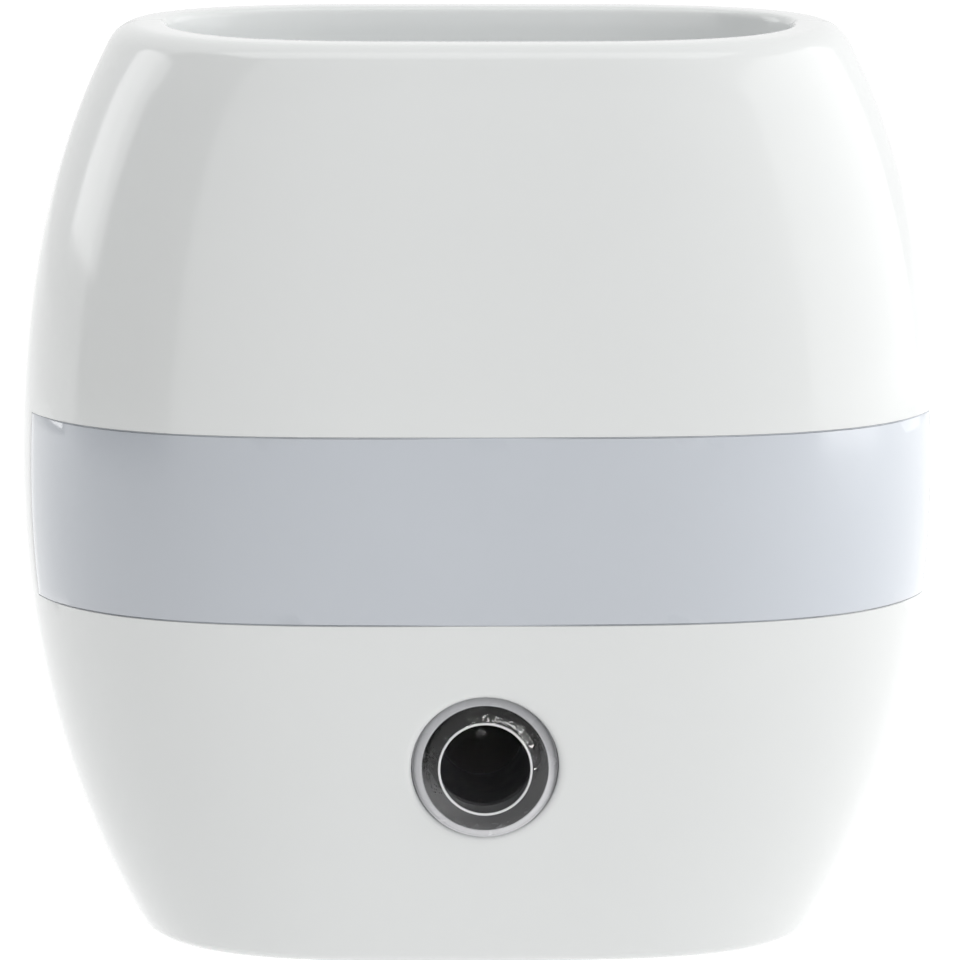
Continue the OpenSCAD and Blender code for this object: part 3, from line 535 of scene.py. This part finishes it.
can_sleeve = moulded("capacitor_sleeve", (0.02, 0.025, 0.06), 0.22, 0.08, 1200.0)
epoxy = moulded("package_epoxy", (0.025, 0.025, 0.026), 0.55, 0.15, 3500.0, 0.00003)
fuse_lacquer = moulded("fuse_lacquer", (0.12, 0.18, 0.16), 0.4, 0.08, 1500.0)
beige_lacquer = moulded("resistor_lacquer", (0.5, 0.38, 0.22), 0.35, 0.06, 1500.0)
diode_glass = clear("diode_glass", (0.7, 0.2, 0.08), 0.05)
sheet_board = moulded("sheet_board", (0.45, 0.35, 0.22), 0.7, 0.08, 3000.0, 0.00003)
zinc = moulded("zinc_plate", (0.62, 0.62, 0.64), 0.32, 0.05, 2500.0, 0.00001, 0.08, 1.0)
nickel = moulded("nickel_plate", (0.66, 0.64, 0.6), 0.2, 0.03, 1800.0, 0.000006, 0.06, 1.0)
sleeve_black = moulded("sleeve_black", (0.02, 0.02, 0.021), 0.42, 0.12, 3000.0, 0.00003)
spring_brass = moulded("spring_brass", (0.62, 0.42, 0.16), 0.25, 0.05, 1500.0, 0.00001, 0.06,
                       1.0)

# The CAD nodes that stay as they are, and their materials.
NODE_LOOKS = {
    "phototransistor": lens_clear, "light_chamber": chamber_white,
    "led_board": board_white, "band_leds": led_resin, "top_leds": led_resin,
    "main_board": board_green, "film_capacitor": film_yellow,
    "smoothing_capacitor": can_sleeve, "bridge_rectifier": epoxy, "fuse_resistor": fuse_lacquer,
    "bleed_resistors": beige_lacquer, "zener_diode": diode_glass, "drive_transistor": epoxy,
    "control_chip": epoxy, "board_header": black, "insulating_sheet": sheet_board,
    "board_screws": zinc, "housing_screws": zinc, "plug_pin_left": nickel,
    "plug_pin_right": nickel, "pin_sleeve_left": sleeve_black, "pin_sleeve_right": sleeve_black,
    "contact_spring_left": spring_brass, "contact_spring_right": spring_brass,
}
for node, look in NODE_LOOKS.items():
    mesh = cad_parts[node].data
    mesh.materials.clear()
    mesh.materials.append(look)


def place_piece(obj, node, look):
    """Gives a piece its material and its place on the body, instead of a node."""
    obj.data.materials.append(look)
    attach(obj, "root")
    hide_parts(node)


def give_second_look(obj, look, chosen):
    """A second material for each face that is chosen by its corners, in millimetres."""
    obj.data.materials.append(look)
    for face in obj.data.polygons:
        if chosen([obj.data.vertices[k].co / MM for k in face.vertices]):
            face.material_index = 1


# ---------------------------------------------------------------- front shell
# Half height of the rows round the sensor bore, which lie closer together.
BORE_PATCH = 8.2
SIDE_COLUMNS, SLOT_COLUMNS, BORE_HALF_COLUMNS = 9, 84, 9
BELOW_ROWS, BORE_ROWS, BETWEEN_ROWS, SLOT_ROWS, ABOVE_ROWS = 6, 18, 2, 14, 26

seam_step, slot_step = SEAM_BEVEL / DEGREE, SLOT_ROUND / DEGREE
slot_from, slot_to = BAND_END - slot_step, 180 - BAND_END + slot_step
front_angles = ([0.0] + front.columns(seam_step, slot_from, SIDE_COLUMNS)
                + front.columns(slot_from, slot_to, SLOT_COLUMNS)
                + front.columns(slot_to, 180 - seam_step, SIDE_COLUMNS)
                + [180 - seam_step, 180.0])
front_levels = (steps(FOOT_Z + FOOT_ROUND, SENSOR_Z - BORE_PATCH, BELOW_ROWS)
                + steps(SENSOR_Z - BORE_PATCH, SENSOR_Z + BORE_PATCH, BORE_ROWS)
                + steps(SENSOR_Z + BORE_PATCH, BAND_LOW - SLOT_ROUND, BETWEEN_ROWS)
                + steps(BAND_LOW - SLOT_ROUND, BAND_TOP + SLOT_ROUND, SLOT_ROWS)
                + steps(BAND_TOP + SLOT_ROUND, TOP_Z - RIM_ROUND, ABOVE_ROWS))
slot_row, slot_column = BELOW_ROWS + BORE_ROWS + BETWEEN_ROWS, 1 + SIDE_COLUMNS
slot_window = Window((slot_row, slot_row + SLOT_ROWS),
                     (slot_column, slot_column + SLOT_COLUMNS))
centre = slot_column + SLOT_COLUMNS // 2
bore_window = Window((BELOW_ROWS, BELOW_ROWS + BORE_ROWS),
                     (centre - BORE_HALF_COLUMNS, centre + BORE_HALF_COLUMNS))

shell = Shell(front, front_levels, front_angles, [slot_window, bore_window])
shell.slot(slot_window)
shell.hole(bore_window, 0.0, SENSOR_Z, lambda t: BORE_R, BORE_ROUND)
front_shell = make_object("front_shell_skin", shell.sheet.verts, shell.sheet.faces)
place_piece(front_shell, "front_shell", white)

# ---------------------------------------------------------------- rear shell
REAR_COLUMNS = 100
# Half heights and half widths of the patches round a screw and round the plug.
SCREW_PATCH_Z, SCREW_PATCH_X = 4.2, 4.4
PLUG_PATCH_Z, PLUG_PATCH_X = 9.0, 20.5
REAR_FOOT_ROWS, SCREW_ROWS, REAR_GAP_ROWS, PLUG_ROWS, REAR_TOP_ROWS = 14, 10, 1, 20, 18

rear_angles = ([0.0] + rear.columns(seam_step, 180 - seam_step, REAR_COLUMNS)
               + [180 - seam_step, 180.0])
rear_levels = (steps(FOOT_Z + FOOT_ROUND, SCREW_LOW_Z - SCREW_PATCH_Z, REAR_FOOT_ROWS)
               + steps(SCREW_LOW_Z - SCREW_PATCH_Z, SCREW_LOW_Z + SCREW_PATCH_Z, SCREW_ROWS)
               + steps(SCREW_LOW_Z + SCREW_PATCH_Z, -PLUG_PATCH_Z, REAR_GAP_ROWS)
               + steps(-PLUG_PATCH_Z, SCREW_HIGH_Z - SCREW_PATCH_Z, PLUG_ROWS)
               + steps(SCREW_HIGH_Z - SCREW_PATCH_Z, SCREW_HIGH_Z + SCREW_PATCH_Z, SCREW_ROWS)
               + steps(SCREW_HIGH_Z + SCREW_PATCH_Z, TOP_Z - RIM_ROUND, REAR_TOP_ROWS))


def nearest_column(x, z):
    row = (z, 0, z)
    return min(range(len(rear_angles)),
               key=lambda i: abs(rear.point(row, rear_angles[i]).x - x))


def rear_window(x, z, half_width, low, rows):
    """A window in the outer skin alone, from a level's height up."""
    first = next(k for k, v in enumerate(rear_levels) if abs(v - low) < NEAR)
    columns = sorted(nearest_column(x + side * half_width, z) for side in (-1, 1))
    return Window((first, first + rows), columns, through=False)


def plug_radius(grow):
    """The plug's six-sided outline, grown by an amount, as a radius by angle."""
    flat = PLUG_H / 2 + grow
    across = PLUG_W / 2 * math.sin(PLUG_SLOPE) + grow

    def radius(t):
        c, s = abs(math.cos(t)), abs(math.sin(t))
        return min(flat / max(s, 1e-6),
                   across / (c * math.sin(PLUG_SLOPE) + s * math.cos(PLUG_SLOPE)))
    return radius


screw_windows = [rear_window(x, z, SCREW_PATCH_X, z - SCREW_PATCH_Z, SCREW_ROWS)
                 for x, z in SCREW_SPOTS]
plug_window = rear_window(0, 0, PLUG_PATCH_X, -PLUG_PATCH_Z, PLUG_ROWS)

shell = Shell(rear, rear_levels, rear_angles, screw_windows + [plug_window])
for w, (x, z) in zip(screw_windows, SCREW_SPOTS):
    shell.hole(w, x, z, lambda t: SCREW_BORE_R, SCREW_LIP, BACK_Y - SCREW_SINK)
shell.hole(plug_window, 0.0, 0.0, plug_radius(PLUG_PLAY), PLUG_LIP, BACK_Y - WALL)
rear_shell = make_object("rear_shell_skin", shell.sheet.verts, shell.sheet.faces)
place_piece(rear_shell, "rear_shell", white)

# ---------------------------------------------------------------- light band
BAND_ROWS, BAND_COLUMNS = 14, 90
band_edge = BAND_GAP + BAND_ROUND
a_low, a_high = BAND_END + band_edge / DEGREE, 180 - BAND_END - band_edge / DEGREE
z_low, z_high = BAND_LOW + band_edge, BAND_TOP - band_edge
band_angles = front.columns(a_low, a_high, BAND_COLUMNS) + [a_high]
band_levels = steps(z_low, z_high, BAND_ROWS) + [z_high]
sheet = Sheet()
grids = [[sheet.ring([front.point((z, inset, z), a) for a in band_angles])
          for z in band_levels] for inset in (0.0, WALL)]
for grid in grids:
    for j in range(BAND_ROWS):
        for i in range(BAND_COLUMNS):
            sheet.cell(grid, j, i)
face_edge, back_edge = [border(grid, 0, BAND_ROWS, 0, BAND_COLUMNS) for grid in grids]
previous, shares = face_edge
# Each ring of the edge is a reach outwards and an inset. The last one starts the back's bevel.
edge_rows = [(BAND_ROUND * s, BAND_ROUND * (1 - c)) for s, c in quarter(EDGE_STEPS)[1:]]
for reach, inset in edge_rows + [(BAND_ROUND, WALL - BAND_BEVEL)]:
    previous = sheet.extend(previous, band_outline(shares, band_edge - reach, inset))
sheet.bridge(previous, back_edge[0])
band = make_object("light_band_skin", sheet.verts, sheet.faces)
place_piece(band, "light_band", band_blue)

# ---------------------------------------------------------------- sensor lens
# A clear core, a frosted rim that holds it, and a bead of painted highlight where face and
# shoulder meet.
lens_y, lens_back = span("sensor_lens", 1)
lens_r = span("sensor_lens", 0)[1]
lens_len = lens_back - lens_y
FACE_R, FACE_MARGIN, SHOULDER = 3.15, 0.05, 1.3
SHOULDER_STEPS, CORE_STEPS = 24, 12
BEAD_R, BEAD_SUNK = 0.085, 0.03
# Radius of the innermost ring of a turned piece, and the bevel of its ends.
POLE_R, END_BEVEL = 0.01, 0.1
# Gaps between the rim and the core, in front and at the side, and between rim and bore.
RIM_FRONT_GAP, RIM_GAP, BORE_GAP = 0.06, 0.03, 0.04

shoulder = [(FACE_R + (lens_r - FACE_R) * s, SHOULDER * (1 - c))
            for s, c in quarter(SHOULDER_STEPS)]
core_r, core_front = shoulder[CORE_STEPS - 1]
core_outline = ([(POLE_R, 0.0), (FACE_R / 2, 0.0), (FACE_R - FACE_MARGIN, 0.0)]
                + shoulder[1:CORE_STEPS]
                + [(core_r, lens_len - END_BEVEL), (core_r - END_BEVEL, lens_len),
                   (POLE_R, lens_len)])
lens = make_object("sensor_lens_core", *loft(turned(lens_y, core_outline), True, True),
                   smooth_below=TURNED_SHARP)
place_piece(lens, "sensor_lens", lens_clear)


def in_face_or_back(corners):
    """Whether corners lie in the lens's flat face or in its back."""
    reach = max(math.hypot(c.x, c.z - SENSOR_Z) for c in corners)
    return reach < FACE_R - FACE_MARGIN / 2 or all(abs(c.y - lens_back) < NEAR for c in corners)


give_second_look(lens, lens_face, in_face_or_back)

inner_r, outer_r = core_r + RIM_GAP, BORE_R - BORE_GAP
rim_outline = ([(inner_r, lens_len), (inner_r, core_front + RIM_FRONT_GAP)]
               + shoulder[CORE_STEPS:-1]
               + [(outer_r, SHOULDER), (outer_r, lens_len - END_BEVEL),
                  (outer_r - END_BEVEL, lens_len)])
rim = make_object("sensor_lens_rim", *loft(turned(lens_y, rim_outline), around=True),
                  smooth_below=TURNED_SHARP)
place_piece(rim, "sensor_lens", lens_milky)

# The bead's pale colour is painted highlight, for the edge of the lens's face catching the
# light.
bead_outline = [(FACE_R + BEAD_R * math.cos(t), BEAD_SUNK + BEAD_R * math.sin(t))
                for t in steps(0, 2 * math.pi, BEAD_STEPS)]
bead = make_object("sensor_lens_bead", *loft(turned(lens_y, bead_outline), around=True))
place_piece(bead, "sensor_lens", lens_highlight_paint)

# The black tube narrows towards its partition, whose deepest black is partly the plastic and
# partly painted shade.
tube_y, tube_end = span("sensor_baffle", 1)
tube_r = span("sensor_baffle", 0)[1]
tube_len = tube_end - tube_y
MOUTH_R, THROAT_R, THROAT, PARTITION = 3.55, 3.0, 7.5, 1.0
MOUTH_FLARE, MOUTH_DEPTH, THROAT_BEVEL = 0.15, 0.2, 0.05
tube_outline = [(POLE_R, THROAT), (THROAT_R - THROAT_BEVEL, THROAT),
                (THROAT_R, THROAT - THROAT_BEVEL), (MOUTH_R - MOUTH_FLARE, MOUTH_DEPTH),
                (MOUTH_R, 0.0), (tube_r - END_BEVEL, 0.0), (tube_r, END_BEVEL),
                (tube_r, tube_len), (MOUTH_R, tube_len), (MOUTH_R, THROAT + PARTITION),
                (POLE_R, THROAT + PARTITION)]
tube = make_object("sensor_baffle_tube", *loft(turned(tube_y, tube_outline), True, True),
                   smooth_below=TURNED_SHARP)
place_piece(tube, "sensor_baffle", tube_black)
give_second_look(tube, partition_black_painted_shade, lambda corners: all(
    abs(c.y - (tube_y + THROAT)) < NEAR for c in corners))

# ---------------------------------------------------------------- opal tray
TRAY_INSET, TRAY_WALL = WALL + 0.2, 1.6
TRAY_FOOT_BEVEL, TRAY_LIP_OUT, TRAY_LIP_IN, TRAY_ROUND = 0.4, 0.2, 0.3, 0.9
TRAY_COLUMNS, TRAY_STEPS = 72, 5
tray_low, tray_top = span("top_tray", 2)
tray_floor = tray_low + TRAY_WALL
tray_inner = TRAY_INSET + TRAY_WALL


def well_ring(inset, z):
    """The closed outline of the well at an inset, at a height."""
    row = (LEAN_START, inset, TOP_Z)
    rear_turn = rear.columns(0, 180, TRAY_COLUMNS)[1:] + [180]
    points = ([front.point(row, a) for a in front.columns(0, 180, TRAY_COLUMNS)]
              + [rear.point(row, a) for a in reversed(rear_turn)])
    return [Vector((p.x, p.y, z)) for p in points]


tray_rows = ([(TRAY_INSET + TRAY_FOOT_BEVEL, tray_low),
              (TRAY_INSET, tray_low + TRAY_FOOT_BEVEL),
              (TRAY_INSET, tray_top - TRAY_LIP_OUT), (TRAY_INSET + TRAY_LIP_OUT, tray_top),
              (tray_inner - TRAY_LIP_IN, tray_top), (tray_inner, tray_top - TRAY_LIP_IN)]
             + [(tray_inner + TRAY_ROUND * (1 - c), tray_floor + TRAY_ROUND * (1 - s))
                for s, c in quarter(TRAY_STEPS)])
tray = make_object("top_tray_dish", *loft([well_ring(*row) for row in tray_rows], True, True))
place_piece(tray, "top_tray", opal)

# ---------------------------------------------------------------- plug body
CORNER_STEPS, PLUG_STEPS = 7, 6
# Places along Y of the rings of the straight part, from the root to just behind the face.
PLUG_STRAIGHT = (BACK_Y - WALL, -12.0, -PLUG_ROUND - 1)


def plug_ring(grow, y):
    """The plug's outline with rounded corners, grown by an amount, at a place along Y."""
    w = PLUG_W / 2 + grow / math.sin(PLUG_SLOPE)
    h = PLUG_H / 2 + grow
    f = PLUG_FLAT_W / 2 + grow * math.tan(PLUG_SLOPE / 2)
    corners = [Vector(c) for c in ((w, 0), (f, -h), (-f, -h), (-w, 0), (-f, h), (f, h))]
    radius = PLUG_CORNER + grow
    out = []
    for i, at in enumerate(corners):
        u = (corners[i - 1] - at).normalized()
        v = (corners[(i + 1) % len(corners)] - at).normalized()
        half_angle = u.angle(v) / 2
        arc_centre = at + (u + v).normalized() * (radius / math.sin(half_angle))
        start = at + u * (radius / math.tan(half_angle)) - arc_centre
        for k in range(CORNER_STEPS + 1):
            turn = Matrix.Rotation(-(math.pi - 2 * half_angle) * k / CORNER_STEPS, 2)
            spot = arc_centre + turn @ start
            out.append(Vector((spot.x, y, spot.y)))
    return out


plug_rings = ([plug_ring(0.0, y) for y in PLUG_STRAIGHT]
              + [plug_ring(-PLUG_ROUND * (1 - c), -PLUG_ROUND * (1 - s))
                 for s, c in quarter(PLUG_STEPS)])
plug = make_object("plug_body_case", *loft(plug_rings, True, True))
place_piece(plug, "plug_body", white)

# ---------------------------------------------------------------- floor and world
WHITE = (1, 1, 1, 1)
# Half width of the floor in metres, and how far it lies below the foot in millimetres.
FLOOR_HALF, FLOOR_DROP = 6, 25
FLOOR_GREY, FLOOR_SCALE, FLOOR_ROUGH = 0.88, 8.0, 0.9
# What the floor glows with where it is seen, and everywhere.
FLOOR_SEEN, FLOOR_GLOW = 0.6, 0.06
# Strength of the world's light on the object. Where the world is seen, 1 is white.
FILL, SEEN_WHITE = 0.645, 1.0


def stage_card(name, corners, look):
    """A stage object of one face."""
    mesh = bpy.data.meshes.new(name)
    mesh.from_pydata(corners, [], [(0, 1, 2, 3)])
    mesh.materials.append(look)
    obj = bpy.data.objects.new(name, mesh)
    bpy.context.scene.collection.objects.link(obj)
    return obj


def add_seen_white(tree):
    """A value of 1 for rays from the camera, in reflections and through glass."""
    path = tree.nodes.new("ShaderNodeLightPath")
    total = path.outputs["Is Camera Ray"]
    for other in ("Is Glossy Ray", "Is Transmission Ray"):
        both = tree.nodes.new("ShaderNodeMath")
        both.operation = "MAXIMUM"
        tree.links.new(total, both.inputs[0])
        tree.links.new(path.outputs[other], both.inputs[1])
        total = both.outputs[0]
    return total


floor_mat, tree, shader, place = nodes_of("pale_floor")
tree.links.new(ramp(tree, noise(tree, place, FLOOR_SCALE), (FLOOR_GREY * 0.99,) * 3,
                    (FLOOR_GREY * 1.01,) * 3), shader.inputs["Base Color"])
set_input(floor_mat, "Roughness", FLOOR_ROUGH)
set_input(floor_mat, "Specular IOR Level", 0.0)
set_input(floor_mat, "Emission Color", WHITE)
lift = tree.nodes.new("ShaderNodeMath")
lift.operation = "MULTIPLY_ADD"
lift.inputs[1].default_value = FLOOR_SEEN
lift.inputs[2].default_value = FLOOR_GLOW
tree.links.new(add_seen_white(tree), lift.inputs[0])
tree.links.new(lift.outputs[0], shader.inputs["Emission Strength"])
stage_card("floor", [(x * FLOOR_HALF, y * FLOOR_HALF, (FOOT_Z - FLOOR_DROP) * MM)
                     for x, y in SQUARE], floor_mat)

world = bpy.data.worlds.new("studio")
bpy.context.scene.world = world
world.use_nodes = True
tree = world.node_tree
tree.nodes.clear()
mix = tree.nodes.new("ShaderNodeMixShader")
out = tree.nodes.new("ShaderNodeOutputWorld")
tree.links.new(add_seen_white(tree), mix.inputs["Fac"])
for socket, strength in ((1, FILL), (2, SEEN_WHITE)):
    light = tree.nodes.new("ShaderNodeBackground")
    light.inputs["Color"].default_value = WHITE
    light.inputs["Strength"].default_value = strength
    tree.links.new(light.outputs[0], mix.inputs[socket])
tree.links.new(mix.outputs[0], out.inputs["Surface"])

# ---------------------------------------------------------------- lamps and camera
BODY_CENTRE = Vector((0, SEAM_Y * MM, 0))


def direction(azimuth, elevation):
    """Unit vector away from the body. Azimuth 0 is in front, 90 at the picture's right."""
    a, e = math.radians(azimuth), math.radians(elevation)
    return Vector((math.sin(a) * math.cos(e), -math.cos(a) * math.cos(e), math.sin(e)))


def rolled(degrees):
    """A turn about the line of sight."""
    return Matrix.Rotation(math.radians(degrees), 3, "Z").to_quaternion()


def softbox(name, azimuth, elevation, distance, width, height, power):
    """An area lamp aimed at the body."""
    away = direction(azimuth, elevation)
    data = bpy.data.lights.new(name, "AREA")
    data.shape = "RECTANGLE"
    data.size, data.size_y = width, height
    data.energy = power
    lamp = bpy.data.objects.new(name, data)
    lamp.location = BODY_CENTRE + away * distance
    lamp.rotation_mode = "QUATERNION"
    lamp.rotation_quaternion = (-away).to_track_quat("-Z", "Y")
    bpy.context.scene.collection.objects.link(lamp)
    return lamp


def only_for(lamp, obj):
    """Lets a lamp light one piece alone."""
    group = bpy.data.collections.new(lamp.name + "_only")
    group.objects.link(obj)
    lamp.light_linking.receiver_collection = group


def flag(name, azimuth, elevation, distance, width, height, grey):
    """A plain card that faces the body, which the camera doesn't see."""
    away = direction(azimuth, elevation)
    turn = (-away).to_track_quat("Z", "Y").to_matrix()
    middle = BODY_CENTRE + away * distance
    corners = [middle + turn @ Vector((x * width / 2, y * height / 2, 0))
               for x, y in SQUARE]
    stage_card(name, corners, moulded(name, (grey,) * 3, 0.8)).visible_camera = False


# Name, azimuth, elevation, distance, width, height, and a lamp's power or the flag's grey.
LAMPS = (
    ("front_window", 5, 17, 1.3, 2.7, 0.8, 1.5),
    ("right_window", 92, 12, 0.8, 1.3, 1.1, 5.0),
    ("left_strip", -108, 23, 0.7, 0.36, 0.40, 0.9),
    ("overhead", 0, 82, 0.9, 0.9, 0.5, 1.8),
)
GLINT, GLINT_ROLL = ("lens_glint", 12, 1, 1.0, 0.34, 0.15, 6.0), 45
BAND_SIDE = ("band_side", 75, 10, 0.8, 0.5, 0.5, 2.5)
LEFT_FLAG = ("left_flag", -72, 10, 0.75, 0.78, 1.9, 0.02)

for lamp in LAMPS:
    softbox(*lamp)
# A small lamp whose reflection is the spark on the lens's shoulder.
glint = softbox(*GLINT)
glint.rotation_quaternion @= rolled(GLINT_ROLL)
only_for(glint, lens)
# The light that the clear diffuser takes in from its right side.
only_for(softbox(*BAND_SIDE), band)
flag(*LEFT_FLAG)

# The camera looks at the body from a little left of its front, from above.
AZIMUTH, ELEVATION, ROLL = -1.487, 9.0435, 0.0914
DISTANCE, AIM_X = 325.88, 0.0694
SENSOR_MM, LENS_MM = 36.0, 171.34
to_camera = direction(AZIMUTH, ELEVATION)
camera_data = bpy.data.cameras.new("camera")
camera_data.lens, camera_data.sensor_width = LENS_MM, SENSOR_MM
camera_data.clip_start, camera_data.clip_end = 0.01, 50
camera = bpy.data.objects.new("camera", camera_data)
camera.location = (Vector((AIM_X, SEAM_Y, 0)) + to_camera * DISTANCE) * MM
camera.rotation_mode = "QUATERNION"
camera.rotation_quaternion = (-to_camera).to_track_quat("-Z", "Y") @ rolled(ROLL)
bpy.context.scene.collection.objects.link(camera)
bpy.context.scene.camera = camera
bpy.context.scene.view_settings.view_transform = "Standard"

bpy.context.view_layer.update()
